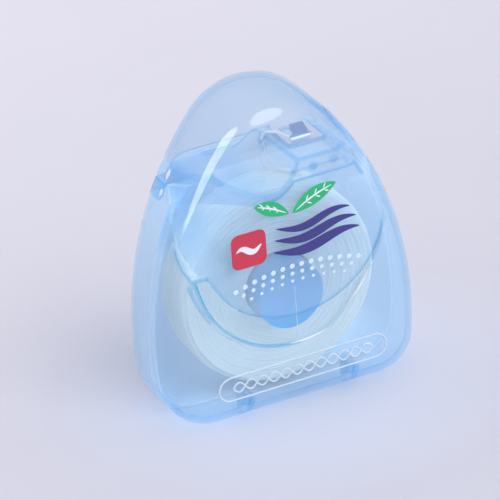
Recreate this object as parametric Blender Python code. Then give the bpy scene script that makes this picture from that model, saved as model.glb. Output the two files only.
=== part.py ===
# Dental floss dispenser, in metres, +Z up, standing on its base with the printed tongue at the front (-Y).
# Two case halves hold a bobbin of floss; a deck with a steel cutter closes the top under a flip lid.
import math

import bmesh
import bpy

# Fits
gap = 0.0003                     # clearance between two pieces
overrun = 0.004                  # how far a cutter passes the face it opens
seam_gap_share = 0.5             # each side of a parting line gives up this much of the gap

# Case
case_width = 0.052
case_height = 0.0624
case_depth = 0.024
wall = 0.0012
top_radius = 0.0146
side_radius = 0.069
corner_radius = 0.0082
edge_radius = 0.0066             # roll from the front and back faces into the flanks
lip_length = 0.001               # lap joint between the two halves
lip_thickness = 0.00045
arc_step = math.radians(7.0)
edge_steps = 6

# Parting line between case and lid
lid_line_share = 0.742           # of the case's height

# Tongue of the lid over the front, and the finger scoop below it
tongue_half_width = 0.0189
tongue_drop_share = 0.388        # from the tongue's widest place to its lowest point, of the parting line's height
tongue_bottom_share = 0.434
tongue_steps = 56
scoop_bottom_share = 0.313
scoop_radius = 0.0199
scoop_shift = -0.0004            # the scoop stands a little towards the hinge
scoop_steps = 18
scoop_blend_radius = 0.0025      # rounds the corner where the scoop meets the tongue's swing

# Hinge of the lid on the left flank
strap_proud = 0.0004
strap_front = 0.0032
strap_length = 0.004
strap_up = 0.0025                # reach of the lid's leaf above the parting line
strap_down = 0.0031              # reach of the deck's leaf below it
cheek_tip_back = 0.0022          # where the lid's cheek dies away, behind the middle plane
cheek_radius = 0.0128            # reach of the cheek round the hinge at the front face
pocket_radius = 0.0152           # reach of the case's pocket for it, also at the front face
cheek_steps = 40
skirt_low_x = -0.0172            # the lid's edge runs straight from here, on the tongue, to the cheek
skirt_low_drop = 0.0152          # below the parting line
skirt_high_x = -0.0209
skirt_high_drop = 0.0111
skirt_depth = 0.0021

# The lid's corner away from the hinge, where its edge slopes down over the roll to meet the tongue
corner_left = 0.0128
corner_drop = 0.0053             # below the parting line
corner_depth_share = 0.35        # of half the case's depth, behind the front face at the parting line
corner_bend_drop = 0.0017
corner_bend_share = 0.215

# Deck under the lid
deck_front_setback = 0.002       # from the case's front face to the deck's
platform_rise = 0.0046           # of the cutter platform over the parting line
shelf_rise = 0.0014
plug_depth = 0.0037              # how far the deck's skirt reaches into the case
trough_radius = 0.0081
trough_centre_x = -0.0055
trough_drop = 0.0019             # of its lowest point under the parting line
trough_back_share = 0.667        # of half the case's depth, as the other back and front shares are
trough_rise = 0.0028             # the trough climbs this much from the deck's front to its back end
trough_steps = 22
platform_right = 0.0117
platform_back_share = 0.433
back_shoulder_share = 0.15
shoulder_steps = 6
nub_radius = 0.0005
nub_length = 0.0003
nub_places_shares = ((0.33, 0.52), (0.8, 0.6))   # across the platform, and up from the parting line to it
outlet_radius = 0.0008
outlet_x = 0.0019
outlet_back_share = 0.233

# Steel cutter
steel = 0.0004
plate_left = 0.0037
plate_width = 0.007
plate_front_share = -0.392
plate_length_share = 0.808
plate_front_radius = 0.0005
plate_back_radius = 0.002
seat_depth = 0.0003
tab_setback_share = 0.196        # of the plate's length, from its front edge to the tab
tab_left_inset = 0.0012
tab_foot_width = 0.0041
tab_top_width = 0.0026
tab_height = 0.003
window_length_share = 0.546
window_extra = 0.0006            # the window is a little wider than the tab bent out of it
notch_height = 0.0009
notch_depth = 0.0007

# Bobbin and its post
hub_radius = 0.0067
hub_wall = 0.0012
hub_end_gap = 0.0005             # end play at each end of the bobbin
post_wall = 0.0012
hub_steps = 40

# Floss, wound on the bobbin as a flat cake
cake_floor_gap = 0.0012          # under the cake, over the case's floor
cake_into_skirt = 0.0002         # how far the cake's rim reaches up inside the deck's skirt
cake_front_share = -0.325
cake_back_share = 0.417
strand = 0.00055                 # diameter of the outer turns
cake_edge_radius = 0.0015        # of the turns where the face rolls into the rim
turns = 19
turn_points = 24
first_turn_gap = 0.0006          # from the bobbin to the innermost turn
lead_strand = 0.0005
lead_steps = 60

# Snap ribs behind the front wall
rib_x = 0.011
rib_width = 0.0014
rib_top_height = 0.0057
rib_depth = 0.0042

# Sizes that follow
half_depth = case_depth / 2
half_width = case_width / 2
lid_line_height = lid_line_share * case_height
top_centre_z = case_height - top_radius
side_centre_x = half_width - side_radius
side_centre_z = top_centre_z - math.sqrt((side_radius - top_radius) ** 2 - side_centre_x ** 2)
corner_reach = side_radius - corner_radius
corner_centre_x = side_centre_x + math.sqrt(corner_reach ** 2 - (side_centre_z - corner_radius) ** 2)
top_tangent = math.atan2(top_centre_z - side_centre_z, -side_centre_x)
corner_tangent = math.atan2(corner_radius - side_centre_z, corner_centre_x - side_centre_x)
half_gap = gap * seam_gap_share
flank_x = side_centre_x + math.sqrt(side_radius ** 2 - (lid_line_height - side_centre_z) ** 2)
hinge_x = -(flank_x + strap_proud)
hinge_z = lid_line_height
tongue_drop = tongue_drop_share * lid_line_height
tongue_centre_z = tongue_bottom_share * lid_line_height + tongue_drop
recess_floor = -(half_depth - wall - gap)
scoop_centre_z = scoop_bottom_share * lid_line_height + scoop_radius
skirt_low = (skirt_low_x, lid_line_height - skirt_low_drop)
skirt_high = (skirt_high_x, lid_line_height - skirt_high_drop)
deck_height = lid_line_height + platform_rise
shelf_height = lid_line_height + shelf_rise
trough_bottom_height = lid_line_height - trough_drop
trough_centre_z = trough_bottom_height + trough_radius
trough_back = trough_back_share * half_depth
platform_back = platform_back_share * half_depth
back_shoulder_depth = back_shoulder_share * half_depth
outlet_y = outlet_back_share * half_depth
plate_front = plate_front_share * half_depth
plate_length = plate_length_share * half_depth
tab_setback = tab_setback_share * plate_length
window_length = window_length_share * plate_length
cake_radius = (lid_line_height - plug_depth + cake_into_skirt - wall - cake_floor_gap) / 2
cake_front = cake_front_share * half_depth
cake_back = cake_back_share * half_depth
hub_height = wall + cake_floor_gap + cake_radius
plate_seat_height = deck_height - seat_depth
plate_bottom = plate_seat_height + gap
plate_top = plate_bottom + steel
bobbin_front = recess_floor + wall + hub_end_gap
bobbin_back = half_depth - wall - hub_end_gap
post_radius = hub_radius - hub_wall - gap
deck_front = deck_front_setback - half_depth


def arc(centre, radius, start, end, steps):
    """Points on an arc, ends included."""
    turn = (end - start) / steps
    return [(centre[0] + radius * math.cos(start + turn * k),
             centre[1] + radius * math.sin(start + turn * k)) for k in range(steps + 1)]


def arc_steps(angle):
    return max(2, math.ceil(abs(angle) / arc_step))


def tongue_reach():
    """The farthest that any point of the tongue's edge lies from the hinge."""
    return max(math.dist(point, (hinge_x, hinge_z)) for point in tongue_outline())


def case_outline(inset):
    """The case seen from the front, drawn in by an even inset, anticlockwise from the base."""
    corner_arc = arc((corner_centre_x, corner_radius), corner_radius - inset, -math.pi / 2, corner_tangent,
                     arc_steps(math.pi / 2 + corner_tangent))
    side_arc = arc((side_centre_x, side_centre_z), side_radius - inset, corner_tangent, top_tangent,
                   2 * arc_steps(top_tangent - corner_tangent))
    crown_arc = arc((0.0, top_centre_z), top_radius - inset, top_tangent, math.pi / 2,
                    arc_steps(math.pi / 2 - top_tangent))
    right = corner_arc + side_arc[1:] + crown_arc[1:]
    left = [(-x, z) for x, z in reversed(right[:-1])]
    return right + left


def tongue_outline():
    """The lid's tongue seen from the front: an ellipse whose upper half lies inside the lid."""
    turn = 2 * math.pi / tongue_steps
    return [(tongue_half_width * math.cos(turn * k), tongue_centre_z + tongue_drop * math.sin(turn * k))
            for k in range(tongue_steps)]


def bearing(centre, point):
    return math.atan2(point[1] - centre[1], point[0] - centre[0])


def crossing(first, first_radius, second, second_radius):
    """Where two circles cross, on the clockwise side of the line from the first centre to the second."""
    apart = math.dist(first, second)
    cosine = (first_radius ** 2 + apart ** 2 - second_radius ** 2) / (2 * apart * first_radius)
    angle = bearing(first, second) - math.acos(cosine)
    return first[0] + first_radius * math.cos(angle), first[1] + first_radius * math.sin(angle)


def recess_outline(growth):
    """Scoop and tongue recess: an arc about the hinge on the right, which the tongue swings along,
    the scoop's own arc below and on the left, and a small blend between them."""
    hinge = (hinge_x, hinge_z)
    scoop = (scoop_shift, scoop_centre_z)
    swing_radius = tongue_reach() + gap + growth
    own_radius = scoop_radius + growth
    blend_radius = scoop_blend_radius + growth
    blend = crossing(hinge, swing_radius - blend_radius, scoop, own_radius - blend_radius)
    swing_end = bearing(hinge, blend)
    own_start = bearing(scoop, blend)
    swing = arc(hinge, swing_radius, math.asin(overrun / swing_radius), swing_end, scoop_steps)
    corner = arc(blend, blend_radius, swing_end, own_start, shoulder_steps)
    own = arc(scoop, own_radius, own_start, -math.pi, scoop_steps)
    return list(reversed(swing + corner[1:] + own[1:] + [(own[-1][0], lid_line_height + overrun)]))


def object_from(name, bm):
    mesh = bpy.data.meshes.new(name)
    bmesh.ops.recalc_face_normals(bm, faces=bm.faces)
    bm.to_mesh(mesh)
    bm.free()
    made = bpy.data.objects.new(name, mesh)
    bpy.context.scene.collection.objects.link(made)
    return made


def loft(name, rings):
    """A closed solid through rings of equally many points, capped at both ends."""
    bm = bmesh.new()
    layers = [[bm.verts.new(point) for point in ring] for ring in rings]
    for lower, upper in zip(layers, layers[1:]):
        for k in range(len(lower)):
            after = (k + 1) % len(lower)
            bm.faces.new((lower[k], lower[after], upper[after], upper[k]))
    bm.faces.new(list(reversed(layers[0])))
    bm.faces.new(layers[-1])
    return object_from(name, bm)


def prism_y(name, outline, front, back):
    return loft(name, [[(x, y, z) for x, z in outline] for y in (front, back)])


def prism_x(name, outline, left, right):
    return loft(name, [[(x, y, z) for y, z in outline] for x in (left, right)])


def prism_z(name, outline, bottom, top):
    return loft(name, [[(x, y, z) for x, y in outline] for z in (bottom, top)])


def block(name, low, high):
    x0, y0, z0 = low
    x1, y1, z1 = high
    return prism_z(name, [(x0, y0), (x1, y0), (x1, y1), (x0, y1)], z0, z1)


def turned(name, profile, centre, steps):
    """A solid turned about an axis along Y through centre; profile is (radius, y), radius 0 at its ends."""
    bm = bmesh.new()
    turn = 2 * math.pi / steps
    rings = []
    for radius, y in profile:
        if radius == 0.0:
            rings.append([bm.verts.new((centre[0], y, centre[1]))])
        else:
            rings.append([bm.verts.new((centre[0] + radius * math.cos(turn * k), y,
                                        centre[1] + radius * math.sin(turn * k))) for k in range(steps)])
    for lower, upper in zip(rings, rings[1:]):
        for k in range(steps):
            after = (k + 1) % steps
            corners = [lower[k % len(lower)], lower[after % len(lower)],
                       upper[after % len(upper)], upper[k % len(upper)]]
            distinct = list(dict.fromkeys(corners))
            bm.faces.new(distinct)
    return object_from(name, bm)


def turned_ring(name, profile, centre, steps):
    """A solid turned from a closed profile that stays clear of its axis."""
    bm = bmesh.new()
    turn = 2 * math.pi / steps
    rings = [[bm.verts.new((centre[0] + radius * math.cos(turn * k), y, centre[1] + radius * math.sin(turn * k)))
              for radius, y in profile] for k in range(steps)]
    for k, ring in enumerate(rings):
        following = rings[(k + 1) % steps]
        for j in range(len(profile)):
            after = (j + 1) % len(profile)
            bm.faces.new((ring[j], ring[after], following[after], following[j]))
    return object_from(name, bm)


def envelope(name, inset):
    """The whole outer form, case and lid together, drawn in by an even inset on every side."""
    flat_y = half_depth - edge_radius
    roll = edge_radius - inset
    stations = []
    for k in range(edge_steps + 1):
        angle = math.pi / 2 * (1 - k / edge_steps)
        stations.append((edge_radius - roll * math.cos(angle), flat_y + roll * math.sin(angle)))
    rings = [[(x, -depth, z) for x, z in case_outline(ring_inset)] for ring_inset, depth in stations]
    rings += [[(x, depth, z) for x, z in case_outline(ring_inset)] for ring_inset, depth in reversed(stations)]
    return loft(name, rings)


def hinge_cone(name, radius, growth):
    """A cone about the hinge, widest at the front: the lid's cheek, or the pocket that it turns in."""
    half_angle = math.atan2(radius, cheek_tip_back + half_depth)
    tip = cheek_tip_back + growth / math.sin(half_angle)
    front = -half_depth - overrun
    profile = [(0.0, tip), ((tip - front) * math.tan(half_angle), front), (0.0, front)]
    return turned(name, profile, (hinge_x, hinge_z), cheek_steps)


def hide_tool(tool):
    tool.hide_render = True
    tool.display_type = "WIRE"
    return tool


def combine(target, tool, operation):
    modifier = target.modifiers.new(tool.name, "BOOLEAN")
    modifier.operation = operation
    modifier.object = hide_tool(tool)
    modifier.solver = "EXACT"


def cut(target, *tools):
    for tool in tools:
        combine(target, tool, "DIFFERENCE")


def join(target, *tools):
    for tool in tools:
        combine(target, tool, "UNION")


def keep_inside(target, tool):
    combine(target, tool, "INTERSECT")


def set_material(target, name, colour, roughness, metallic=0.0, alpha=1.0):
    material = bpy.data.materials.get(name) or bpy.data.materials.new(name)
    material.use_nodes = True
    shader = material.node_tree.nodes["Principled BSDF"]
    shader.inputs["Base Color"].default_value = (*colour, 1.0)
    shader.inputs["Roughness"].default_value = roughness
    shader.inputs["Metallic"].default_value = metallic
    shader.inputs["Alpha"].default_value = alpha
    target.data.materials.append(material)


def clear_blue(target):
    set_material(target, "clear blue plastic", (0.45, 0.72, 0.93), 0.12, alpha=0.45)


def hub_blue(target):
    set_material(target, "hub blue plastic", (0.08, 0.38, 0.72), 0.2, alpha=0.8)


def cutter_steel(target):
    set_material(target, "cutter steel", (0.78, 0.8, 0.82), 0.25, metallic=1.0)


def white_floss(target):
    set_material(target, "waxed floss", (0.93, 0.95, 0.96), 0.6)


def case_cavity(name):
    """The hollow of the case, which keeps a full wall behind the recess and round the cheek's pocket."""
    cavity = envelope(name, wall)
    front = -half_depth - overrun
    cut(cavity,
        prism_y(name + " recess wall", recess_outline(wall), front, recess_floor + wall),
        hinge_cone(name + " pocket wall", pocket_radius, gap + wall))
    return cavity


def case_half(name, front, back):
    """One half of the case: the outer form up to the parting line, recessed at the front and hollowed."""
    half = envelope(name, 0.0)
    top = lid_line_height - half_gap
    keep_inside(half, block(name + " reach", (-case_width, front, -overrun), (case_width, back, top)))
    cut(half,
        prism_y(name + " recess", recess_outline(0.0), -half_depth - overrun, recess_floor),
        hinge_cone(name + " pocket", pocket_radius, gap),
        case_cavity(name + " hollow"))
    return half


def lap_ring(name, outer_inset, inner_inset, front, back):
    """A ring that follows the case's wall between two insets."""
    ring = prism_y(name, case_outline(outer_inset), front, back)
    cut(ring, prism_y(name + " inside", case_outline(inner_inset), front - overrun, back + overrun))
    return ring


def trough_cylinder(name, growth, front, back):
    """The finger trough's round form, which climbs towards the back."""
    rings = []
    for y in (front, back):
        rise = trough_rise * (y - deck_front) / (trough_back - deck_front)
        outline = arc((trough_centre_x, trough_centre_z + rise), trough_radius + growth,
                      0.0, 2 * math.pi, 2 * trough_steps)
        rings.append([(x, y, z) for x, z in outline[:-1]])
    return loft(name, rings)


def make_front_shell():
    shell = case_half("front_shell", -half_depth - overrun, -half_gap)
    rabbet_inset = wall - lip_thickness - gap
    cut(shell,
        lid_corner("corner relief", gap),
        lap_ring("front rabbet", rabbet_inset, wall + gap, -lip_length - gap, overrun),
        trough_cylinder("front scallop", wall + gap, -half_depth - overrun, recess_floor + wall + gap))
    for side in (-1, 1):
        centre = side * rib_x
        rib = block("snap rib", (centre - rib_width / 2, -half_depth + wall / 2, wall / 2),
                    (centre + rib_width / 2, -half_depth + wall + rib_depth, rib_top_height))
        keep_inside(rib, envelope("rib reach", wall / 2))
        join(shell, rib)
    clear_blue(shell)
    return shell


def make_back_shell():
    shell = case_half("back_shell", half_gap, half_depth + overrun)
    lip = lap_ring("back lip", wall - lip_thickness, wall, -lip_length, wall / 2)
    cut(lip, hinge_cone("lip pocket", pocket_radius, gap + wall + gap))
    keep_inside(lip, block("lip reach", (-case_width, -half_depth, -overrun),
                           (case_width, half_depth, lid_line_height - half_gap)))
    notch = block("leaf notch", (-case_width, strap_front - gap, lid_line_height - strap_down - gap),
                  (hinge_x + wall + gap + wall + gap, strap_front + strap_length + gap, lid_line_height + overrun))
    cut(shell, notch)
    post_front = bobbin_front + hub_wall + hub_end_gap
    post_back = half_depth - wall / 2
    post_bore = post_radius - post_wall
    post = turned_ring("hub post", [(post_bore, post_front), (post_radius, post_front),
                                    (post_radius, post_back), (post_bore, post_back)],
                       (0.0, hub_height), hub_steps)
    join(shell, lip, post)
    clear_blue(shell)
    return shell


def top_profile(growth):
    """The deck's top seen from the front, lowered by growth and closed over everything above it:
    a shelf on the hinge side of the trough, the cutter platform and its right shoulder."""
    shelf = shelf_height - growth
    platform = deck_height - growth
    shoulder = arc((platform_right - growth, shelf), platform - shelf, math.pi / 2, 0.0, shoulder_steps)
    sky = case_height + overrun
    return ([(-case_width, shelf), (trough_centre_x, shelf), (trough_centre_x, platform)] + shoulder
            + [(case_width, shelf), (case_width, sky), (-case_width, sky)])


def back_profile(growth):
    """The deck's back shoulder seen from the side, as (y, z)."""
    shelf = shelf_height - growth
    rise = deck_height - shelf_height
    sky = case_height + overrun
    quarter = arc((0.0, 0.0), 1.0, math.pi / 2, 0.0, shoulder_steps)
    shoulder = [(platform_back - growth + back_shoulder_depth * across, shelf + rise * up) for across, up in quarter]
    return shoulder + [(case_depth, shelf), (case_depth, sky), (platform_back - growth, sky)]


def deck_block(name, growth, bottom):
    """The deck's outer form, or with growth the hollow under its wall."""
    form = envelope(name, wall + gap + growth)
    front = -half_depth - overrun
    plug_front = recess_floor + wall + gap + growth
    step = lid_line_height + half_gap + growth
    step_tool = block(name + " step", (-case_width, front, -overrun), (case_width, plug_front, step))
    cut(step_tool, trough_cylinder(name + " spout", wall, front - overrun, plug_front + overrun))
    cut(form,
        block(name + " below", (-case_width, -case_depth, -overrun), (case_width, case_depth, bottom)),
        step_tool,
        block(name + " face", (-case_width, front, -overrun),
              (case_width, deck_front + growth, case_height)),
        prism_y(name + " top", top_profile(growth), front, case_depth),
        trough_cylinder(name + " trough", growth, front, trough_back + growth),
        prism_x(name + " shoulder", back_profile(growth), -case_width, case_width),
        hinge_cone(name + " pocket", pocket_radius, gap + wall + gap + growth))
    return form


def rounded_plate(front_radius, back_radius, growth):
    """The cutter plate's outline seen from above, as (x, y)."""
    left = plate_left - growth
    right = plate_left + plate_width + growth
    front = plate_front - growth
    back = plate_front + plate_length + growth
    corners = [((left + front_radius, front + front_radius), front_radius, math.pi),
               ((right - front_radius, front + front_radius), front_radius, 1.5 * math.pi),
               ((right - back_radius, back - back_radius), back_radius, 0.0),
               ((left + back_radius, back - back_radius), back_radius, math.pi / 2)]
    points = []
    for centre, radius, start in corners:
        points += arc(centre, radius, start, start + math.pi / 2, shoulder_steps)
    return points


def strap_leaf(name, low_z, high_z, inner_inset):
    """A leaf of the hinge strap, standing a little proud of the left flank."""
    leaf = envelope(name, -strap_proud)
    keep_inside(leaf, block(name + " reach", (-case_width, strap_front, low_z),
                            (hinge_x / 2, strap_front + strap_length, high_z)))
    cut(leaf, envelope(name + " inside", inner_inset))
    return leaf


def make_deck():
    plug_bottom = lid_line_height - plug_depth
    deck = deck_block("deck", 0.0, plug_bottom)
    cut(deck, deck_block("deck hollow", wall, plug_bottom - overrun))
    leaf = strap_leaf("deck leaf", lid_line_height - strap_down, lid_line_height - half_gap, wall + gap + wall / 2)
    join(deck, leaf)
    for across, up in nub_places_shares:
        x = trough_centre_x + trough_radius + across * (platform_right - trough_centre_x - trough_radius)
        z = lid_line_height + up * (deck_height - lid_line_height)
        join(deck, turned("catch nub", [(0.0, deck_front - nub_length), (nub_radius, deck_front - nub_length),
                                        (nub_radius, deck_front + wall / 2), (0.0, deck_front + wall / 2)],
                          (x, z), 2 * shoulder_steps))
    outlet = prism_z("outlet", arc((outlet_x, outlet_y), outlet_radius, 0.0, 2 * math.pi, 2 * shoulder_steps)[:-1],
                     trough_bottom_height, deck_height + overrun)
    seat = prism_z("plate seat", rounded_plate(plate_front_radius, plate_back_radius, gap),
                   plate_seat_height, deck_height + overrun)
    cut(deck, outlet, seat)
    clear_blue(deck)
    return deck


def cheek_skirt():
    """Closes the corner between the tongue and the cheek, inside the space that the pocket leaves."""
    outline = [(hinge_x / 2, skirt_low[1]), (hinge_x / 2, hinge_z), (skirt_high[0], hinge_z), skirt_high, skirt_low]
    skirt = prism_y("cheek skirt", outline, -half_depth - overrun, -half_depth + skirt_depth)
    keep_inside(skirt, hinge_cone("skirt reach", pocket_radius, 0.0))
    return skirt


def lid_corner(name, growth):
    """The space of the lid's sloping corner, or with growth the case's relief for it."""
    front = -half_depth - overrun
    low = lid_line_height - corner_drop - growth
    bend = lid_line_height - corner_bend_drop - growth
    top = lid_line_height + overrun
    outline = [(front, low), (-half_depth + wall + growth, low),
               ((corner_bend_share - 1) * half_depth + growth, bend),
               ((corner_depth_share - 1) * half_depth + growth, lid_line_height - growth),
               ((corner_depth_share - 1) * half_depth + growth, top), (front, top)]
    return prism_x(name, outline, corner_left - growth, case_width)


def make_flip_lid():
    lid = envelope("flip_lid", 0.0)
    reach = block("lid reach", (-case_width, -case_depth, lid_line_height + half_gap),
                  (case_width, case_depth, case_height + overrun))
    join(reach,
         prism_y("lid tongue", tongue_outline(), -half_depth - overrun, -half_depth + wall),
         hinge_cone("lid cheek", cheek_radius, 0.0),
         cheek_skirt(),
         lid_corner("lid corner", 0.0))
    keep_inside(lid, reach)
    cut(lid, envelope("lid hollow", wall))
    leaf = strap_leaf("lid leaf", lid_line_height + half_gap, lid_line_height + strap_up, wall / 2)
    join(lid, leaf)
    clear_blue(lid)
    return lid


def make_cutter_plate():
    plate = prism_z("cutter_plate", rounded_plate(plate_front_radius, plate_back_radius, 0.0),
                    plate_bottom, plate_top)
    left = plate_left + tab_left_inset
    tab_front = plate_front + tab_setback
    window = block("cutter window", (left, tab_front + steel, plate_bottom - overrun),
                   (left + tab_foot_width + window_extra, tab_front + window_length, plate_top + overrun))
    top = plate_top + tab_height
    outline = [(left, plate_bottom), (left + tab_foot_width, plate_bottom), (left + tab_foot_width, plate_top),
               (left + tab_top_width, top), (left, top), (left, plate_top + 2 * notch_height),
               (left + notch_depth, plate_top + notch_height), (left, plate_top + notch_height / 2)]
    cut(plate, window)
    join(plate, prism_y("cutter tab", outline, tab_front, tab_front + steel))
    cutter_steel(plate)
    return plate


def make_bobbin():
    bore = hub_radius - hub_wall
    profile = [(0.0, bobbin_front), (hub_radius, bobbin_front), (hub_radius, bobbin_back), (bore, bobbin_back),
               (bore, bobbin_front + hub_wall), (0.0, bobbin_front + hub_wall)]
    bobbin = turned("bobbin", profile, (0.0, hub_height), hub_steps)
    hub_blue(bobbin)
    return bobbin


def make_floss_core():
    """The inner floss, plain, one clearance inside the outer turns."""
    inner = hub_radius + gap
    skin = strand + gap
    outer = cake_radius - skin
    front = cake_front + skin
    roll = cake_edge_radius - strand / 2 - gap
    edge = arc((outer - roll, front + roll), roll, -math.pi / 2, 0.0, shoulder_steps)
    profile = [(inner, front)] + edge + [(outer, cake_back), (inner, cake_back)]
    core = turned_ring("floss_core", profile, (0.0, hub_height), 2 * hub_steps)
    white_floss(core)
    return core


def winding_place(along):
    """Radius and y of the outer turns at a distance along the cake's face, rolled edge and rim."""
    start = hub_radius + first_turn_gap + strand / 2
    face_y = cake_front + strand / 2
    rim = cake_radius - strand / 2
    face = rim - cake_edge_radius - start
    roll = cake_edge_radius * math.pi / 2
    if along < face:
        return start + along, face_y
    if along < face + roll:
        angle = (along - face) / cake_edge_radius
        return (rim - cake_edge_radius + cake_edge_radius * math.sin(angle),
                face_y + cake_edge_radius - cake_edge_radius * math.cos(angle))
    return rim, face_y + cake_edge_radius + along - face - roll


def winding_length():
    start = hub_radius + first_turn_gap + strand / 2
    face = cake_radius - strand / 2 - cake_edge_radius - start
    rim = cake_back - strand / 2 - cake_front - strand / 2 - cake_edge_radius
    return face + cake_edge_radius * math.pi / 2 + rim


def winding_points():
    """One unbroken strand: it spirals out over the face, rolls over the edge and winds along the rim."""
    count = turns * turn_points
    points = []
    for k in range(count + 1):
        radius, y = winding_place(winding_length() * k / count)
        angle = 2 * math.pi * k / turn_points
        points.append((radius * math.cos(angle), y, hub_height + radius * math.sin(angle)))
    return points


def least_gap(points):
    """Least clear space between one turn of the strand and any other."""
    least = case_width
    for k, point in enumerate(points):
        for other in points[k + turn_points // 2:]:
            least = min(least, math.dist(point, other))
    return least - strand


def tube(name, points, diameter, resolution):
    curve = bpy.data.curves.new(name, "CURVE")
    curve.dimensions = "3D"
    curve.bevel_depth = diameter / 2
    curve.bevel_resolution = resolution
    curve.use_fill_caps = True
    spline = curve.splines.new("POLY")
    spline.points.add(len(points) - 1)
    for place, point in zip(spline.points, points):
        place.co = (*point, 1.0)
    made = bpy.data.objects.new(name, curve)
    bpy.context.scene.collection.objects.link(made)
    return made


def make_floss_winding():
    points = winding_points()
    print("least gap between turns, mm:", round(1000 * least_gap(points), 3))
    winding = tube("floss_winding", points, strand, 1)
    white_floss(winding)
    return winding


def lead_route():
    """The strand's own points: off the cake's rim, up under the deck, out of the outlet and to the cutter."""
    leaving_radius = cake_radius + gap + lead_strand / 2
    exit_low = (outlet_x, outlet_y, trough_bottom_height)
    away = math.dist((exit_low[0], exit_low[2]), (0.0, hub_height))
    towards = math.atan2(exit_low[2] - hub_height, exit_low[0])
    leaving = towards - math.acos(leaving_radius / away)
    start_y = (cake_front + cake_back) / 2
    start = (leaving_radius * math.cos(leaving), start_y, hub_height + leaving_radius * math.sin(leaving))
    above = plate_top + gap + lead_strand
    tab_front = plate_front + tab_setback
    end = (plate_left + tab_left_inset - lead_strand, tab_front, above)
    return [start,
            exit_low,
            (outlet_x, outlet_y, shelf_height),
            (outlet_x, outlet_y, deck_height),
            ((outlet_x + end[0]) / 2, (outlet_y + end[1]) / 2, above),
            end]


def smooth_route(points, steps):
    """A smooth curve through the route's points, read at even steps of its knots."""
    padded = [points[0]] + points + [points[-1]]
    result = []
    for k in range(steps + 1):
        place = (len(points) - 1) * k / steps
        j = min(int(place), len(points) - 2)
        t = place - j
        a, b, c, d = padded[j], padded[j + 1], padded[j + 2], padded[j + 3]
        result.append(tuple(
            0.5 * (2 * q + (r - p) * t + (2 * p - 5 * q + 4 * r - s) * t ** 2 + (3 * q - p - 3 * r + s) * t ** 3)
            for p, q, r, s in zip(a, b, c, d)))
    return result


def make_floss_lead():
    lead = tube("floss_lead", smooth_route(lead_route(), lead_steps), lead_strand, 2)
    white_floss(lead)
    return lead


def shade(pieces):
    for piece in pieces:
        if piece.type == "MESH":
            piece.data.shade_smooth()
            piece.data.set_sharp_from_angle(angle=math.radians(32.0))


def hang_on_axis(name, place, pieces):
    """An empty on a joint's axis, which carries the pieces that move about it."""
    pivot = bpy.data.objects.new(name, None)
    pivot.location = place
    bpy.context.scene.collection.objects.link(pivot)
    bpy.context.view_layer.update()
    for piece in pieces:
        piece.parent = pivot
        piece.matrix_parent_inverse = pivot.matrix_world.inverted()


def main():
    for leftover in list(bpy.data.objects):
        bpy.data.objects.remove(leftover)
    fixed = [make_front_shell(), make_back_shell(), make_deck(), make_cutter_plate(), make_floss_lead()]
    lid = make_flip_lid()
    spool = [make_bobbin(), make_floss_core(), make_floss_winding()]
    hang_on_axis("lid_hinge", (hinge_x, strap_front + strap_length / 2, hinge_z), [lid])
    hang_on_axis("spool_axis", (0.0, 0.0, hub_height), spool)
    shade(fixed + [lid] + spool)


main()
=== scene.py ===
# A clear blue dental floss dispenser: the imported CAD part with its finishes, its wound floss and its print.
# Lengths are in metres. The dispenser faces -y, stands on z = 0 and has its hinge at its left side, -x.
import math

import bmesh
import bpy
from mathutils import Matrix, Vector
from mathutils.kdtree import KDTree


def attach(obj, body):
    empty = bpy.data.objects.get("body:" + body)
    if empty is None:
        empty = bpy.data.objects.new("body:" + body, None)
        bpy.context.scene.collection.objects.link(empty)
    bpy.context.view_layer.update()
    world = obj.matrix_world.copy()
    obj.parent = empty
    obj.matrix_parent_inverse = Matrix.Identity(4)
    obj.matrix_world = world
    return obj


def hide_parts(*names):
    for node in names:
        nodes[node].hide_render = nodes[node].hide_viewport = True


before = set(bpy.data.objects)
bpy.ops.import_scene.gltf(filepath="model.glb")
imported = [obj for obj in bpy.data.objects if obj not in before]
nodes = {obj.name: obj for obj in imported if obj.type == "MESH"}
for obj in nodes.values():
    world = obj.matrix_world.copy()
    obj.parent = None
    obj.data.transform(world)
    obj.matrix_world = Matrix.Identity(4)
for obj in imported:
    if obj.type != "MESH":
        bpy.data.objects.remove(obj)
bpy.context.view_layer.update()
bpy.ops.object.select_all(action="DESELECT")

mm = 0.001
weld_distance = 0.000001

# Places and sizes that the part's source gives
front_face = -0.012
recess_floor = -0.0105
hub_height = 0.0226
hub_radius = 0.0067
case_middle_height = 0.028
cake_radius = 0.0202
cake_front = -0.0039
cake_back = 0.005
cake_edge_radius = 0.0015
lead_points = [(0.008273, 0.00055, 0.04163), (0.0019, 0.0028, 0.0444), (0.0019, 0.0028, 0.0477),
               (0.0019, 0.0028, 0.0509), (0.00315, 0.0, 0.0521), (0.0044, -0.0028, 0.0521)]
plate_top = 0.0513
rib_x = 0.011
rib_width = 0.0014
rib_top_height = 0.0057
field_centre_x = -0.0004
field_centre_z = 0.0344
field_radius = 0.0199
side_radius = 0.069
side_centre_x = 0.043
side_centre_z = 0.01448

# Limits of zones: the front face, a depth behind it, and the sunk field with its rim
front_zone = -0.0115
half_depth_zone = -0.006
field_edge = field_radius + 0.0012


# Shader sums

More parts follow.
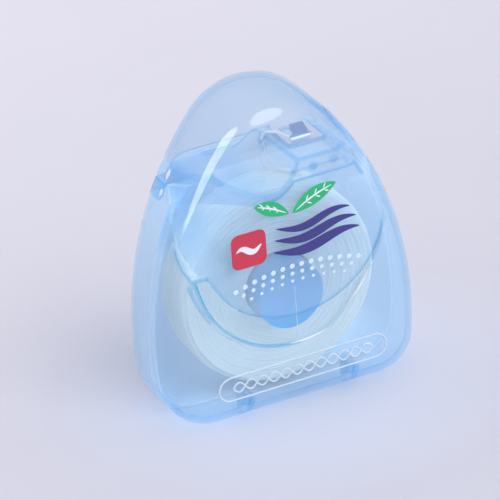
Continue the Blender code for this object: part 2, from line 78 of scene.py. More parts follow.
class Value:
    """A socket that takes part in Python sums; each sum adds its Math node."""

    def __init__(self, finish, socket):
        self.finish = finish
        self.socket = socket

    def math(self, operation, *others):
        return self.finish.node("ShaderNodeMath", {"operation": operation}, dict(enumerate((self, *others))))

    def __add__(self, other):
        return self.math("ADD", other)

    def __radd__(self, other):
        return self.math("ADD", other)

    def __sub__(self, other):
        return self.math("SUBTRACT", other)

    def __rsub__(self, other):
        return self.math("MULTIPLY_ADD", -1.0, other)

    def __mul__(self, other):
        return self.math("MULTIPLY", other)

    def __rmul__(self, other):
        return self.math("MULTIPLY", other)


class Finish:
    """A material, built node by node."""

    def __init__(self, name):
        self.material = bpy.data.materials.new(name)
        self.material.use_nodes = True
        self.tree = self.material.node_tree
        self.tree.nodes.clear()
        self.output = self.tree.nodes.new("ShaderNodeOutputMaterial")
        place = self.tree.nodes.new("ShaderNodeTexCoord")
        self.place = Value(self, place.outputs["Object"])

    def node(self, kind, settings=None, inputs=None, result=0):
        """A new node with its settings made first, then its values and links; gives its chosen output."""
        made = self.tree.nodes.new(kind)
        for key, setting in (settings or {}).items():
            setattr(made, key, setting)
        for key, given in (inputs or {}).items():
            if isinstance(given, Value):
                self.tree.links.new(given.socket, made.inputs[key])
            else:
                made.inputs[key].default_value = given
        return Value(self, made.outputs[result])

    def axes(self):
        """The x, y and z of the place on the piece."""
        return [self.node("ShaderNodeSeparateXYZ", None, {0: self.place}, k) for k in range(3)]

    def from_origin(self):
        return self.node("ShaderNodeVectorMath", {"operation": "LENGTH"}, {0: self.place}, 1)

    def attribute(self, name):
        """A number that the piece's mesh carries at its points."""
        return self.node("ShaderNodeAttribute", {"attribute_name": name}, None, 2)

    def noise(self, scale, detail=2.0, roughness=0.5, place=None):
        return self.node("ShaderNodeTexNoise", {"noise_dimensions": "3D"},
                         {"Vector": place or self.place, "Scale": scale, "Detail": detail,
                          "Roughness": roughness})

    def stretched(self, scale):
        """The object's place, stretched unevenly along its axes."""
        return self.node("ShaderNodeMapping", None, {"Vector": self.place, "Scale": scale})

    def ramped(self, value, start, end):
        """0 at start, 1 at end, and even between them."""
        return self.node("ShaderNodeMapRange", None, {"Value": value, "From Min": start, "From Max": end})

    def mix(self, share, first, second):
        return self.node("ShaderNodeMix", {"data_type": "RGBA"}, {0: share, 6: first, 7: second}, 2)

    def bump(self, height, strength, distance):
        return self.node("ShaderNodeBump", None,
                         {"Height": height, "Strength": strength, "Distance": distance})

    def surface(self, **inputs):
        named = {key.replace("_", " "): given for key, given in inputs.items()}
        shader = self.node("ShaderNodeBsdfPrincipled", None, named)
        self.tree.links.new(shader.socket, self.output.inputs["Surface"])
        return self.material

    def depth_colour(self, colour, density):
        """Colour that deepens with the thickness of the plastic that is looked through."""
        volume = self.node("ShaderNodeVolumeAbsorption", None, {"Color": colour, "Density": density})
        self.tree.links.new(volume.socket, self.output.inputs["Volume"])


def spread(value, low, high):
    """A 0 to 1 value spread over another range."""
    return value * (high - low) + low


def most(first, *others):
    """The greatest of some values."""
    for other in others:
        first = first.math("MAXIMUM", other)
    return first


def rgb(red, green, blue):
    """A colour written as it shows on screen, from 0 to 255, as the shader wants it."""
    def linear(level):
        level /= 255
        return level / 12.92 if level <= 0.04045 else ((level + 0.055) / 1.055) ** 2.4
    return (linear(red), linear(green), linear(blue), 1.0)


# Painted shade: where the clear mouldings are painted a deeper blue, from 0 to 1, standing in for light that
# runs along their walls

painted_shade_blue = (0.28, 0.63, 0.9, 1.0)


def edge_shade_mask(finish):
    """Painted shade mask: 1 beside the edges that a moulding was marked along, and 0 away from them."""
    return finish.ramped(finish.attribute("edge_nearness"), 0.05, 0.55)


def front_painted_shade(finish):
    """Painted shade as along the edges, and also in the two upright ribs behind the front wall, and over the
    left shoulder.
    """
    x, y, z = finish.axes()
    from_rib = (x.math("ABSOLUTE") - rib_x).math("ABSOLUTE")
    in_rib = from_rib.math("LESS_THAN", rib_width / 2 + 0.00002)
    low_in_front = z.math("LESS_THAN", rib_top_height) * y.math("LESS_THAN", half_depth_zone)
    left = finish.ramped(x, -0.0135, -0.0165)
    high = finish.ramped(z, 0.0335, 0.0385)
    return most(edge_shade_mask(finish), in_rib * low_in_front * 0.8, left * high * 0.3)


def lid_painted_shade(finish):
    """Painted shade as along the edges, but paler, and also at the tongue's left end and the cap's lower left
    corner.
    """
    x, y, z = finish.axes()
    tongue_end = finish.ramped(x, -0.0105, -0.0145) * finish.ramped(z, 0.0460, 0.0450)
    at_flank = finish.ramped(x, -0.0142, -0.0156) * finish.ramped(y, -0.0075, -0.0045)
    below_strap = finish.ramped(z + y * 0.4, 0.0474, 0.0469)
    return most(edge_shade_mask(finish) * 0.6, tongue_end * 0.14, at_flank * below_strap * 0.28)


def deck_painted_shade(finish):
    """Painted shade as along the edges, and also over the deck's thick end by the hinge and its skirt inside
    the case.
    """
    x, _, z = finish.axes()
    past_trough = finish.ramped(x, -0.0125, -0.0145)
    short_of_strap = finish.ramped(x, -0.0194, -0.0180)
    thick_end = past_trough * short_of_strap * z.math("LESS_THAN", 0.0485)
    skirt = finish.ramped(z, 0.0469, 0.0457) * finish.ramped(x, 0.003, -0.005)
    return most(edge_shade_mask(finish), thick_end * 0.6, skirt * 0.5)


# Finishes

def clear_plastic(name, tint, depth, density, haze, painted_shade_mask=None):
    """Clear moulded plastic: faint flow marks, a soft sheen and a little milkiness.

    Where the edge mask given last is 1, its colour is painted a deeper blue: painted shade, standing in for the
    light that runs along the wall there.
    """
    finish = Finish(name)
    flow = finish.noise(90.0, detail=3.0, roughness=0.55, place=finish.stretched((1.0, 1.0, 0.35)))
    colour = finish.mix(flow, tint, [c * 0.98 for c in tint[:3]] + [1.0])
    # Painted shade: a deeper blue along the marked edges and in the zones that the mask picks
    if painted_shade_mask:
        colour = finish.mix(painted_shade_mask(finish), colour, painted_shade_blue)
    fine = finish.noise(1400.0)
    outer_gloss, inner_gloss = 0.7, 0.25
    finish.surface(Base_Color=colour, Roughness=spread(fine, 0.06, 0.12), IOR=1.01,
                   Transmission_Weight=1.0 - haze, Coat_Roughness=0.04,
                   Coat_Weight=spread(finish.attribute("faces_in"), outer_gloss, inner_gloss),
                   Normal=finish.bump(flow, strength=0.1, distance=0.00008))
    finish.depth_colour(depth, density)
    return finish.material


def hub_plastic():
    finish = Finish("hub blue plastic")
    flow = finish.noise(160.0, detail=3.0)
    colour = finish.mix(flow, rgb(0, 178, 226), rgb(0, 167, 216))
    finish.surface(Base_Color=colour, Roughness=spread(flow, 0.16, 0.26), Transmission_Weight=0.15,
                   IOR=1.47, Specular_IOR_Level=0.25,
                   Normal=finish.bump(flow, strength=0.1, distance=0.0004))
    return finish.material


def rolled_steel():
    """Bright sheet with fine rolling lines along its length; the bent tab above it is painted a duller blue
    grey: painted shade, with a painted reflection of the blue plastic.
    """
    finish = Finish("cutter steel")
    lines = finish.noise(700.0, detail=3.0, roughness=0.6, place=finish.stretched((6.0, 0.25, 1.0)))
    bright = finish.mix(lines, rgb(226, 226, 236), rgb(240, 240, 246))
    # Painted shade on the bent tab: a duller blue grey than the plate's bright steel
    shaded_tab = finish.ramped(finish.axes()[2], plate_top + 0.0001, plate_top + 0.0004)
    finish.surface(Base_Color=finish.mix(shaded_tab, bright, rgb(124, 152, 190)), Metallic=1.0,
                   Roughness=spread(lines, 0.26, 0.38) + shaded_tab * 0.3,
                   Normal=finish.bump(lines, strength=0.1, distance=0.000004))
    return finish.material


def waxed_thread():
    """White waxed filament: fine fibres and a soft waxy sheen."""
    finish = Finish("waxed floss")
    fibres = finish.noise(5200.0, detail=3.0, roughness=0.6)
    cloudy = finish.noise(260.0)
    colour = finish.mix(fibres * 0.6 + cloudy * 0.4, rgb(218, 219, 212), rgb(237, 234, 225))
    finish.surface(Base_Color=colour, Roughness=spread(fibres, 0.42, 0.6), Specular_IOR_Level=0.4,
                   Sheen_Weight=0.25, Normal=finish.bump(fibres, strength=0.35, distance=0.00006))
    return finish.material


def printed_ink(name, colour, darker):
    """Screen-printed ink, very slightly uneven."""
    finish = Finish(name)
    mottle = finish.noise(1800.0, detail=3.0, roughness=0.6)
    finish.surface(Base_Color=finish.mix(mottle, colour, darker), Roughness=spread(mottle, 0.24, 0.36),
                   Coat_Weight=0.15, Normal=finish.bump(mottle, strength=0.12, distance=0.00002))
    return finish.material


depth_blue = (0.05, 0.69, 1.0, 1.0)
front_plastic = clear_plastic("clear blue front plastic", tint=(0.85, 0.93, 1.0, 1.0), depth=depth_blue,
                              density=78.0, haze=0.13, painted_shade_mask=front_painted_shade)
back_plastic = clear_plastic("clear blue back plastic", tint=(0.82, 0.92, 1.0, 1.0), depth=depth_blue,
                             density=68.0, haze=0.36)
deck_plastic = clear_plastic("clear blue deck plastic", tint=(0.89, 0.915, 0.95, 1.0), depth=depth_blue,
                             density=57.0, haze=0.12, painted_shade_mask=deck_painted_shade)
lid_plastic = clear_plastic("clear blue lid plastic", tint=(0.878, 0.912, 0.962, 1.0), depth=depth_blue,
                            density=72.0, haze=0.08, painted_shade_mask=lid_painted_shade)
hub_finish = hub_plastic()
steel_finish = rolled_steel()
floss_finish = waxed_thread()
# Painted highlight: the raised marks are clear relief, painted a pale milky white as the light they catch
mark_highlight_plastic = clear_plastic("raised mark plastic with painted highlight", tint=rgb(232, 245, 255), depth=rgb(190, 220, 250),
                             density=40.0, haze=0.75)
# Painted highlight: near-white milky plastic for the lips that stand in for glints on the strap and the field's
# rim
glint_lip_plastic = clear_plastic("painted highlight lip plastic", tint=rgb(252, 254, 255), depth=rgb(214, 235, 252),
                            density=20.0, haze=0.85)
green_ink = printed_ink("green ink", rgb(38, 190, 126), rgb(30, 178, 114))
indigo_ink = printed_ink("indigo ink", rgb(66, 62, 140), rgb(54, 50, 126))
red_ink = printed_ink("red ink", rgb(212, 58, 84), rgb(198, 48, 74))
white_ink = printed_ink("white ink", rgb(246, 249, 253), rgb(232, 239, 248))
pale_ink = printed_ink("pale blue ink", rgb(222, 237, 250), rgb(208, 229, 246))


def paint(name, material):
    slots = nodes[name].data.materials
    slots.clear()
    slots.append(material)


# Making pieces

def placed(name, data):
    """A new object in the scene, made of a mesh, curve, light or camera."""
    made = bpy.data.objects.new(name, data)
    bpy.context.scene.collection.objects.link(made)
    return made


def select_only(*pieces):
    """Selects these pieces and nothing else, and makes the first one active."""
    bpy.ops.object.select_all(action="DESELECT")
    for piece in pieces:
        piece.select_set(True)
    bpy.context.view_layer.objects.active = pieces[0]


def finished(piece, name, material, body):
    """Names a piece, fixes its place in its mesh and hangs it on its body."""
    piece.name = name
    piece.data.name = name
    select_only(piece)
    bpy.ops.object.transform_apply(location=True, rotation=True, scale=True)
    piece.data.materials.clear()
    piece.data.materials.append(material)
    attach(piece, body)
    return piece


def as_mesh(piece):
    select_only(piece)
    bpy.ops.object.convert(target="MESH")
    return bpy.context.view_layer.objects.active


def thread(name, points, diameter, sides, closed=False, pointed=False):
    """A round strand through points; a pointed one thins out to both ends."""
    tip = 0.08
    curve = bpy.data.curves.new(name, "CURVE")
    curve.dimensions = "3D"
    curve.bevel_depth = diameter / 2
    curve.bevel_resolution = sides
    curve.use_fill_caps = not closed
    spline = curve.splines.new("POLY")
    spline.points.add(len(points) - 1)
    for k, (place, point) in enumerate(zip(spline.points, points)):
        place.co = (*point, 1.0)
        if pointed:
            place.radius = tip + (1.0 - tip) * math.sin(math.pi * k / (len(points) - 1))
    spline.use_cyclic_u = closed
    made = as_mesh(placed(name, curve))
    bpy.ops.object.shade_smooth()
    return made


def smooth_route(points, steps):
    """A smooth curve through points, read at even steps of its knots."""
    padded = [points[0]] + points + [points[-1]]
    result = []
    for k in range(steps + 1):
        place = (len(points) - 1) * k / steps
        j = min(int(place), len(points) - 2)
        t = place - j
        a, b, c, d = (Vector(padded[j + m]) for m in range(4))
        result.append(0.5 * (2 * b + (c - a) * t + (2 * a - 5 * b + 4 * c - d) * t ** 2
                             + (3 * b - a - 3 * c + d) * t ** 3))
    return result


# The mouldings, with round walls that shade without facets

def mark_edges(piece, shade_reach_at):
    """Refines a moulding along its sharp outer edges, and notes at each point how near the edge is.

    The last argument gives how far the painted edge shade reaches at a place, or 0 where there is none.
    """
    sharp = math.radians(40.0)
    spot_gap = 0.0002
    most_rounds = 9
    short_enough = 0.45
    work = bmesh.new()
    work.from_mesh(piece.data)
    spots = []
    for edge in work.edges:
        if len(edge.link_faces) == 2 and edge.calc_face_angle_signed() > sharp:
            start, end = (corner.co for corner in edge.verts)
            if shade_reach_at((start + end) / 2) > 0.0:
                pieces = math.ceil(edge.calc_length() / spot_gap)
                spots += [start.lerp(end, k / pieces) for k in range(pieces + 1)]
    tree = KDTree(len(spots))
    for k, spot in enumerate(spots):
        tree.insert(spot, k)
    tree.balance()
    reaches = [shade_reach_at(spot) for spot in spots]
    for _ in range(most_rounds):
        bmesh.ops.triangulate(work, faces=work.faces[:])
        long = []
        for edge in work.edges:
            length = edge.calc_length()
            _, nearest, distance = tree.find((edge.verts[0].co + edge.verts[1].co) / 2)
            if length > reaches[nearest] * short_enough and distance < reaches[nearest] + length / 2:
                long.append(edge)
        if not long:
            break
        bmesh.ops.subdivide_edges(work, edges=long, cuts=1)
    bmesh.ops.triangulate(work, faces=work.faces[:])
    layer = work.verts.layers.float.new("edge_nearness")
    for corner in work.verts:
        reach = shade_reach_at(corner.co)
        corner[layer] = max(0.0, 1.0 - tree.find(corner.co)[2] / reach) if reach > 0.0 else 0.0
    work.to_mesh(piece.data)
    work.free()


def deck_shade_reach(place):
    """Painted edge shade's reach: broad round the trough, narrow round the cutter's seat, thin at the back, and
    none low on the skirt.
    """
    low_skirt, back_part, seat_side = 0.0437, 0.003, -0.002
    if place.z < low_skirt:
        return 0.0
    if place.y > back_part:
        return 0.0004
    return 0.0018 if place.x < seat_side else 0.0008


def lid_shade_reach(place):
    """Painted edge shade's reach: the front edge of the tongue alone."""
    tongue_top = 0.0475
    return 0.0009 if place.y < front_zone and place.z < tongue_top else 0.0


def front_shade_reach(place):
    """Painted edge shade's reach: thin along the front's outline, the left flank and the base's left end;
    broader round the sunk field.

    The field's right half and the lower corner of the cheek's pocket have none.
    """
    x, y, z = place
    flank_x, base_z, shell_top, base_end_x = -0.0172, 0.007, 0.0465, -0.01
    on_front = y < front_zone
    at_base = z < base_z
    on_flank = y < half_depth_zone and x < flank_x
    in_field = math.hypot(x - field_centre_x, z - field_centre_z) <= field_edge
    pocket_corner = -0.0174 < x < -0.0135 and 0.0315 < z < 0.0345
    if y > half_depth_zone or z > shell_top or pocket_corner or not (on_front or on_flank or at_base):
        return 0.0
    if on_front and x > 0.0 and in_field:
        return 0.0
    if not in_field:
        return 0.0 if at_base and x > base_end_x else 0.0004
    lower_left = x < -0.004 and 0.024 < z < 0.0315
    return 0.001 if lower_left else 0.0006


def mark_inside(piece):
    """Notes at each point whether the wall faces into the case, where it shines less."""
    middle = Vector((0.0, 0.0, case_middle_height))
    work = bmesh.new()
    work.from_mesh(piece.data)
    work.normal_update()
    layer = work.verts.layers.float.new("faces_in")
    for corner in work.verts:
        corner[layer] = 1.0 if corner.normal.dot(corner.co - middle) < 0.0 else 0.0
    work.to_mesh(piece.data)
    work.free()


def rounded_twin(name, material, body, shade_reach_at=None):
    """A welded copy of a node, whose round walls shade smoothly and whose flat faces stay flat."""
    piece = nodes[name].copy()
    piece.data = nodes[name].data.copy()
    piece.parent = None
    piece.matrix_world = nodes[name].matrix_world
    bpy.context.scene.collection.objects.link(piece)
    select_only(piece)
    bpy.ops.mesh.customdata_custom_splitnormals_clear()
    bpy.ops.object.mode_set(mode="EDIT")
    bpy.ops.mesh.select_all(action="SELECT")
    bpy.ops.mesh.remove_doubles(threshold=weld_distance)
    bpy.ops.object.mode_set(mode="OBJECT")
    if shade_reach_at:
        mark_edges(piece, shade_reach_at)
    mark_inside(piece)
    bpy.ops.object.shade_smooth_by_angle(angle=math.radians(31.0))
    weigh = piece.modifiers.new("flat faces lead", "WEIGHTED_NORMAL")
    weigh.weight = 60
    weigh.keep_sharp = True
    bpy.ops.object.modifier_apply(modifier=weigh.name)
    finished(piece, name + "_moulding", material, body)
    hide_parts(name)
    return piece


paint("cutter_plate", steel_finish)
rounded_twin("bobbin", hub_finish, "spool").visible_shadow = False
for name, plastic, body, shade_reach_at in (("front_shell", front_plastic, "case", front_shade_reach),
                                      ("back_shell", back_plastic, "case", None),
                                      ("deck", deck_plastic, "case", deck_shade_reach),
                                      ("flip_lid", lid_plastic, "lid", lid_shade_reach)):
    rounded_twin(name, plastic, body, shade_reach_at).visible_shadow = False


# Wound floss

cake_start = hub_radius + 0.0004
face_length = cake_radius - cake_edge_radius - cake_start
roll_length = cake_edge_radius * math.pi / 2
cake_length = face_length + roll_length + cake_back - cake_front - cake_edge_radius


def cake_place(along, lift):
    """Radius and y on the cake's face, rolled edge and rim, lifted off it by lift."""
    if along < face_length:
        return cake_start + along, cake_front - lift
    if along < face_length + roll_length:
        angle = (along - face_length) / cake_edge_radius
        reach = cake_edge_radius + lift
        return (cake_radius - cake_edge_radius + reach * math.sin(angle),
                cake_front + cake_edge_radius - reach * math.cos(angle))
    return cake_radius + lift, cake_front + cake_edge_radius + along - face_length - roll_length


def make_cake_body():
    """The closed body under the ridges, which shows as the cake's plain back."""
    inner = hub_radius + 0.0003
    back_rim = cake_radius - 0.0006
    sunk = 0.00025
    steps = 60
    outline = [(inner, cake_front + sunk)]
    outline += [cake_place(cake_length * k / steps, -sunk) for k in range(steps + 1)]
    outline += [(back_rim, cake_back), (inner, cake_back)]
    mesh = bpy.data.meshes.new("cake outline")
    mesh.from_pydata([(radius, y, hub_height) for radius, y in outline],
                     [(k, (k + 1) % len(outline)) for k in range(len(outline))], [])
    made = placed("cake outline", mesh)
    select_only(made)
    bpy.ops.object.mode_set(mode="EDIT")
    bpy.ops.mesh.select_all(action="SELECT")
    bpy.ops.mesh.spin(steps=96, angle=2 * math.pi, center=(0.0, 0.0, hub_height), axis=(0.0, 1.0, 0.0))
    bpy.ops.mesh.select_all(action="SELECT")
    bpy.ops.mesh.remove_doubles(threshold=weld_distance)
    bpy.ops.mesh.normals_make_consistent(inside=False)
    bpy.ops.object.mode_set(mode="OBJECT")
    bpy.ops.object.shade_smooth_by_angle(angle=math.radians(35.0))
    return made


cake_body = finished(make_cake_body(), "floss_cake", floss_finish, "spool")
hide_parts("floss_core")


def strand_points(turns, points_a_turn):
    """The strand's line over the cake, which rises and sinks a little, as wound turns do."""
    first_place = 0.0002
    span = cake_length - 0.0005
    sunk = 0.00014
    points = []
    for k in range(turns * points_a_turn + 1):
        turn = k / points_a_turn
        proud = 0.00006 * math.sin(2.1 * turn) + 0.00005 * math.sin(5.3 * turn + 1.0)
        radius, y = cake_place(first_place + span * turn / turns, proud - sunk)
        angle = 2 * math.pi * turn
        points.append((radius * math.cos(angle), y, hub_height + radius * math.sin(angle)))
    return points


winding = thread("floss_turns", strand_points(turns=64, points_a_turn=60), diameter=0.0004, sides=1)
finished(winding, "floss_turns", floss_finish, "spool")
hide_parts("floss_winding")


def twisted_yarn(points, strand_radius, lay_length, offset):
    """One yarn of a twisted strand: it winds round the strand's own line."""
    result = []
    travelled = 0.0
    for k, point in enumerate(points):
        ahead = points[min(k + 1, len(points) - 1)]
        behind = points[max(k - 1, 0)]
        along = (ahead - behind).normalized()
        side = along.cross(Vector((0.31, 0.52, 0.79))).normalized()
        other = along.cross(side)
        if k:
            travelled += (point - points[k - 1]).length
        angle = 2 * math.pi * travelled / lay_length + offset
        result.append(point + strand_radius * (side * math.cos(angle) + other * math.sin(angle)))
    return result


def make_lead():
    yarn_count = 3
    route = smooth_route([Vector(point) for point in lead_points], 150)
    yarns = []
    for k in range(yarn_count):
        offset = 2 * math.pi * k / yarn_count
        line = twisted_yarn(route, strand_radius=0.00012, lay_length=0.0022, offset=offset)
        yarns.append(thread("yarn", line, diameter=0.00026, sides=1))
    select_only(*yarns)
    bpy.ops.object.join()
    return bpy.context.view_layer.objects.active


lead = finished(make_lead(), "floss_lead_strand", floss_finish, "case")
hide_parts("floss_lead")


# Print on the tongue, drawn in millimetres; the film of ink is in metres

film = 0.00003
first_layer = 0
second_layer = 1.2


def flat_print(name, outline, layer, ink):
    """A thin film of ink on the front face."""
    curve = bpy.data.curves.new(name, "CURVE")
    curve.dimensions = "2D"
    curve.fill_mode = "BOTH"
    curve.extrude = film / 2
    spline = curve.splines.new("POLY")
    spline.points.add(len(outline) - 1)
    for place, (x, z) in zip(spline.points, outline):
        place.co = (x * mm, z * mm, 0.0, 1.0)
    spline.use_cyclic_u = True
    made = as_mesh(placed(name, curve))
    made.rotation_euler = (math.pi / 2, 0.0, 0.0)
    made.location = (0.0, front_face - film * (layer + 0.6), 0.0)
    return finished(made, name, ink, "lid")


def stroke(line, half_width, steps=60):
    """A band along a line that narrows as half_width says; both are functions of a share from 0 to 1."""
    small_step = 0.001
    upper = []
    lower = []
    for k in range(steps + 1):
        t = k / steps
        x, z = line(t)
        ahead_x, ahead_z = line(t + small_step)
        length = math.hypot(ahead_x - x, ahead_z - z)
        across = (-(ahead_z - z) / length, (ahead_x - x) / length)
        reach = half_width(t)
        upper.append((x + across[0] * reach, z + across[1] * reach))
        lower.append((x - across[0] * reach, z - across[1] * reach))
    return upper + list(reversed(lower))


def swelling(widest):
    """A half width that grows from both ends to the middle."""
    least = 0.04
    return lambda t: least + (widest - least) * math.sin(math.pi * t) ** 0.8


def between(start, end, share, rise=0.0):
    """The place at a share of the way from start to end, lifted by rise."""
    return (start[0] + (end[0] - start[0]) * share, start[1] + (end[1] - start[1]) * share + rise)


def leaf(start, end, widest, bend=0.0):
    """A pointed leaf between two points; bend is how far its middle rises."""
    lean = 0.3

    def line(t):
        bow = bend * math.sin(math.pi * t)
        x, z = between(start, end, t, bow)
        return (x - bow * lean, z)
    return stroke(line, swelling(widest), 40)


def rounded_square(centre, half, radius):
    steps = 8
    points = []
    for k, (sx, sz) in enumerate(((1, 1), (-1, 1), (-1, -1), (1, -1))):
        for j in range(steps + 1):
            angle = math.pi / 2 * (k + j / steps)
            points.append((centre[0] + sx * (half - radius) + radius * math.cos(angle),
                           centre[1] + sz * (half - radius) + radius * math.sin(angle)))
    return points


def dot(centre, radius):
    corners = 14
    return [(centre[0] + radius * math.cos(2 * math.pi * k / corners),
             centre[1] + radius * math.sin(2 * math.pi * k / corners)) for k in range(corners)]


def wave(left, right, height, rise, sway, phase):
    """A line that swings once from left to right as it climbs by rise."""
    def line(t):
        return (left + (right - left) * t, height + rise * t + sway * math.sin(2 * math.pi * t + phase))
    return line


def print_leaf(name, root, tip, widest):
    """A green leaf with a white rib and three pairs of veins."""
    bend = 0.4
    flat_print(f"print_leaf_{name}", leaf(root, tip, widest, bend), first_layer, green_ink)
    along = (tip[0] - root[0], tip[1] - root[1])
    rib = [between(root, tip, t, bend * math.sin(math.pi * t)) for t in (0.08, 0.3, 0.5, 0.7)]
    rib_end = between(root, tip, 0.9, 0.12)
    flat_print(f"print_rib_{name}", leaf(rib[0], rib_end, 0.17, 0.33), second_layer, white_ink)
    for k, (x, z) in enumerate(rib[1:]):
        for side in (-1, 1):
            out_x = along[0] * 0.1 - along[1] * 0.09 * side
            out_z = along[1] * 0.1 + abs(along[0]) * 0.1 * side
            vein = leaf((x + out_x * 0.27, z + out_z * 0.27), (x + out_x, z + out_z), 0.13)
            flat_print(f"print_vein_{name}_{k}_{side + 1}", vein, second_layer, white_ink)


def print_dots():
    """Three rows of dots that drop to both sides, each row shorter and finer than the one above."""
    for row in range(3):
        half_row = 13.8 - 1.5 * row
        count = 14 - 2 * row
        for k in range(count):
            x = half_row * (2 * (k + 0.5) / count - 1)
            height = 30.6 - 1.55 * row - 0.012 * x * x
            flat_print(f"print_dot_{row}_{k}", dot((x, height), 0.52 - 0.09 * row), first_layer, pale_ink)


print_leaf("long", root=(-0.2, 41.5), tip=(9.0, 45.3), widest=1.75)
print_leaf("short", root=(-1.0, 41.6), tip=(-8.0, 44.9), widest=1.5)
flat_print("print_badge", rounded_square(centre=(-9.6, 36.6), half=3.6, radius=1.5), first_layer, red_ink)
badge_line = wave(left=-12.2, right=-7.0, height=36.3, rise=0.6, sway=0.7, phase=0.4)
flat_print("print_badge_wave", stroke(badge_line, swelling(0.62)), second_layer, white_ink)
for k, (left, right, height, widest) in enumerate(((-4.6, 13.4, 34.0, 1.1), (-4.2, 12.8, 36.4, 1.0),
                                                    (-3.8, 11.6, 38.7, 0.85))):
    line = wave(left, right, height, rise=0.5, sway=0.8, phase=2.6)
    flat_print(f"print_wave_{k}", stroke(line, swelling(widest)), first_layer, indigo_ink)
print_dots()


# Raised marks, and round lips whose near-white colour is a painted highlight

mark_height = 0.0087


def raised(name, points, width, closed=False):
    """A round line that stands half proud of the case's wall, in pale milky plastic: real relief with a painted
    highlight.
    """
    line = thread(name, points, width, sides=2, closed=closed)
    finished(line, name, mark_highlight_plastic, "case")


def glint_lip(name, points, width, body):
    """A round lip that thins out to both ends and catches the light; its near-white milky colour is a painted
    highlight.
    """
    lip = thread(name, points, width, sides=2, pointed=True)
    finished(lip, name, glint_lip_plastic, body)


def strap_lip(name, body, low, high):
    """The rounded front lip of one leaf of the hinge strap, along the case's side, painted white as the strap's
    glint.
    """
    strap_front = 0.0034
    overhang = 0.0003
    steps = 12
    line = []
    for k in range(steps + 1):
        z = low + (high - low) * k / steps
        side = side_centre_x - math.sqrt(side_radius ** 2 - (z - side_centre_z) ** 2)
        line.append((side - overhang, strap_front, z))
    glint_lip(name, line, width=0.0006, body=body)


def field_lip(name, start, end):
    """A stretch of the sunk field's rim, between two bearings from the field's centre in degrees, painted white
    as the rim's glint.
    """
    least_step = 0.2
    rim = []
    for corner in nodes["front_shell"].data.vertices:
        x, z = corner.co.x - field_centre_x, corner.co.z - field_centre_z
        bearing = math.degrees(math.atan2(z, x))
        on_face = abs(corner.co.y - front_face) < 0.00001
        if on_face and math.hypot(x, z) < field_edge and start < bearing < end:
            rim.append((bearing, corner.co.x, corner.co.z))
    rim.sort()
    knots = [Vector((x, front_face + 0.00005, z)) for k, (bearing, x, z) in enumerate(rim)
             if k == 0 or bearing - rim[k - 1][0] > least_step]
    glint_lip(name, smooth_route(knots, 60), width=0.00045, body="case")


def capsule_line(half_length, half_height):
    """A long rounded outline round the twisted line, sizes in millimetres."""
    steps = 16
    points = []
    for side in (1, -1):
        for k in range(steps + 1):
            angle = math.pi * k / steps - math.pi / 2
            out = half_length - half_height + half_height * math.cos(angle)
            up = half_height * math.sin(angle)
            points.append((side * out * mm, front_face, mark_height + side * up * mm))
    return points


def twist_line(strand):
    """One of the two crossing lines inside the capsule, in millimetres; strand is 1 or -1."""
    half_length = 14.7
    steps = 180
    steps_a_swing = 15
    return [((2 * half_length * k / steps - half_length) * mm, front_face,
             mark_height + strand * math.sin(math.pi * k / steps_a_swing) * mm) for k in range(steps + 1)]


def gate_points(low, high, sunk_low, sunk_high):
    """Two ends of a mark on the sunk field's floor, each sunk into it by its own depth."""
    return [(0.0, recess_floor + sunk_low, low), (0.0, recess_floor + sunk_high, high)]


strap_lip("strap_lip_lid", "lid", low=0.0468, high=0.0489)
strap_lip("strap_lip_case", "case", low=0.0436, high=0.0455)
field_lip("field_lip_low", start=-97.0, end=-72.0)
field_lip("field_lip_right", start=-62.0, end=-30.0)
raised("raised_capsule", capsule_line(half_length=17.6, half_height=2.4), width=0.00034, closed=True)
raised("gate_dot", gate_points(0.0152, 0.0152, sunk_low=0.0001, sunk_high=-0.0001), width=0.0006)
raised("gate_line", gate_points(0.0156, 0.0254, sunk_low=0.00002, sunk_high=0.00002), width=0.00014)
for strand in (1, -1):
    raised(f"raised_twist_{strand + 1}", twist_line(strand), width=0.00036)


# Floor, light and camera

def make_floor():
    """A pale floor, painted deeper in front and lighter behind as the lamps' light falls off, and with a
    painted pool of bluer light round the dispenser, as light through its plastic.
    """
    bpy.ops.mesh.primitive_circle_add(vertices=96, radius=6.0, fill_type="NGON", location=(0.0, 0.0, -0.0001))
    floor = bpy.context.active_object
    floor.name = "floor"
    finish = Finish("studio floor")
    x, y, _ = finish.axes()
    # Painted light: darker in front and lighter behind, as the lamps' light falls off
    behind = finish.ramped(y * 0.9 - x * 0.38, -0.03, 0.15)
    # Painted light: a pool of bluer light round the dispenser, as light through its clear plastic
    painted_light_pool = finish.ramped(finish.from_origin(), 0.05, 0.022)
    grain = finish.noise(35.0, detail=3.0)
    near = finish.mix(grain, rgb(209, 208, 219), rgb(213, 212, 223))
    far = finish.mix(grain, rgb(229, 226, 235), rgb(233, 230, 239))
    colour = finish.mix(painted_light_pool, finish.mix(behind, near, far), rgb(216, 219, 234))
    finish.surface(Base_Color=colour, Roughness=0.9, Specular_IOR_Level=0.2)
    floor.data.materials.append(finish.material)


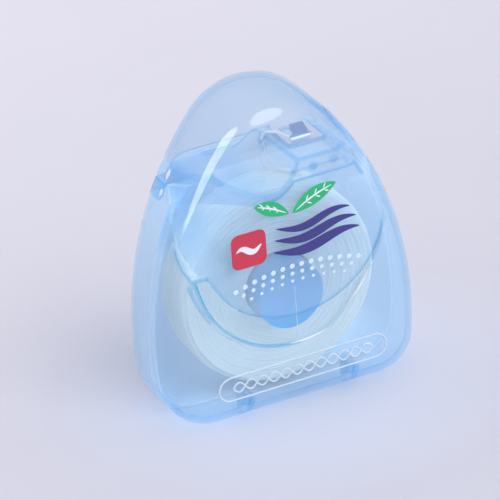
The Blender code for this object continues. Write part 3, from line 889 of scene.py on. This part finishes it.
def make_world():
    """Plain light from all round, and a pale backdrop for the camera, gloss and clear plastic."""
    world = bpy.data.worlds.new("studio")
    world.use_nodes = True
    bpy.context.scene.world = world
    tree = world.node_tree
    tree.nodes.clear()

    def background(colour, strength):
        made = tree.nodes.new("ShaderNodeBackground")
        made.inputs["Color"].default_value = colour
        made.inputs["Strength"].default_value = strength
        return made.outputs[0]

    def larger(first, second):
        made = tree.nodes.new("ShaderNodeMath")
        made.operation = "MAXIMUM"
        tree.links.new(first, made.inputs[0])
        tree.links.new(second, made.inputs[1])
        return made.outputs[0]

    seen = background(rgb(222, 221, 236), 1.0)
    lighting = background(rgb(240, 241, 248), 0.8)
    path = tree.nodes.new("ShaderNodeLightPath").outputs
    is_seen = larger(larger(path["Is Camera Ray"], path["Is Glossy Ray"]), path["Is Transmission Ray"])
    mix = tree.nodes.new("ShaderNodeMixShader")
    for k, socket in enumerate((is_seen, lighting, seen)):
        tree.links.new(socket, mix.inputs[k])
    output = tree.nodes.new("ShaderNodeOutputWorld")
    tree.links.new(mix.outputs[0], output.inputs["Surface"])


def facing(towards):
    """The turn of a lamp or card that stands in a direction and looks back."""
    return (-towards).to_track_quat("-Z", "Y").to_euler()


def soft_box(name, towards, distance, width, height, power):
    """A rectangular soft light that faces the dispenser's middle."""
    middle = Vector((0.0, 0.0, 0.035))
    direction = Vector(towards).normalized()
    light = bpy.data.lights.new(name, "AREA")
    light.shape = "RECTANGLE"
    light.size = width
    light.size_y = height
    light.energy = power
    lamp = placed(name, light)
    lamp.location = middle + distance * direction
    lamp.rotation_euler = facing(direction)
    lamp.visible_glossy = False


def reflected_card(name, towards, distance, width, height, strength):
    """A bright card that only reflections see, as the front of a soft box, with a soft round edge."""
    middle = Vector((0.0, 0.0, 0.04))
    direction = Vector(towards).normalized()
    bpy.ops.mesh.primitive_plane_add(size=1.0, location=middle + distance * direction)
    card = bpy.context.active_object
    card.name = name
    card.rotation_euler = facing(direction)
    card.scale = (width, height, 1.0)
    finish = Finish(name)
    fade = finish.node("ShaderNodeMapRange", {"interpolation_type": "SMOOTHSTEP"},
                       {"Value": finish.from_origin(), "From Min": 0.5, "From Max": 0.36})
    colour = finish.mix(fade, (0.0, 0.0, 0.0, 1.0), (1.0, 1.0, 1.0, 1.0))
    glow = finish.node("ShaderNodeEmission", None, {"Color": colour, "Strength": strength})
    see_through = finish.node("ShaderNodeBsdfTransparent")
    whole = finish.node("ShaderNodeMixShader", None, {0: fade, 1: see_through, 2: glow})
    finish.tree.links.new(whole.socket, finish.output.inputs["Surface"])
    card.data.materials.append(finish.material)
    card.visible_camera = False
    card.visible_diffuse = False
    card.visible_transmission = False
    card.visible_shadow = False


def make_camera():
    """The photograph's view, from the dispenser's left front and above."""
    eye_place = (-0.3799, -0.7939, 0.5030)
    across = math.radians(25.356)
    down = math.radians(28.331)
    roll = math.radians(-3.943)
    camera = bpy.data.cameras.new("camera")
    camera.lens = 385.4
    camera.sensor_width = 36.0
    camera.clip_start = 0.05
    camera.clip_end = 30.0
    eye = placed("camera", camera)
    turn = (Matrix.Rotation(-across, 4, "Z") @ Matrix.Rotation(math.pi / 2 - down, 4, "X")
            @ Matrix.Rotation(roll, 4, "Z"))
    eye.matrix_world = Matrix.Translation(eye_place) @ turn
    bpy.context.scene.camera = eye


make_floor()
make_world()
soft_box("overhead box", towards=(0.10, 0.03, 0.99), distance=1.1, width=0.95, height=0.95, power=0.5)
soft_box("left box", towards=(-0.9, 0.38, 0.17), distance=1.1, width=0.5, height=0.42, power=0.4)
soft_box("front fill", towards=(0.5, -1.0, 0.9), distance=1.8, width=1.4, height=1.2, power=14.0)
soft_box("right fill", towards=(0.9, -0.25, 0.3), distance=1.4, width=0.8, height=0.8, power=2.2)
reflected_card("overhead card", towards=(0.06, -0.12, 0.99), distance=1.05, width=1.0, height=1.0, strength=6.0)
reflected_card("left card", towards=(-0.791, 0.3525, 0.5), distance=1.05, width=0.7, height=1.2, strength=9.0)
make_camera()
bpy.context.scene.view_settings.view_transform = "Standard"
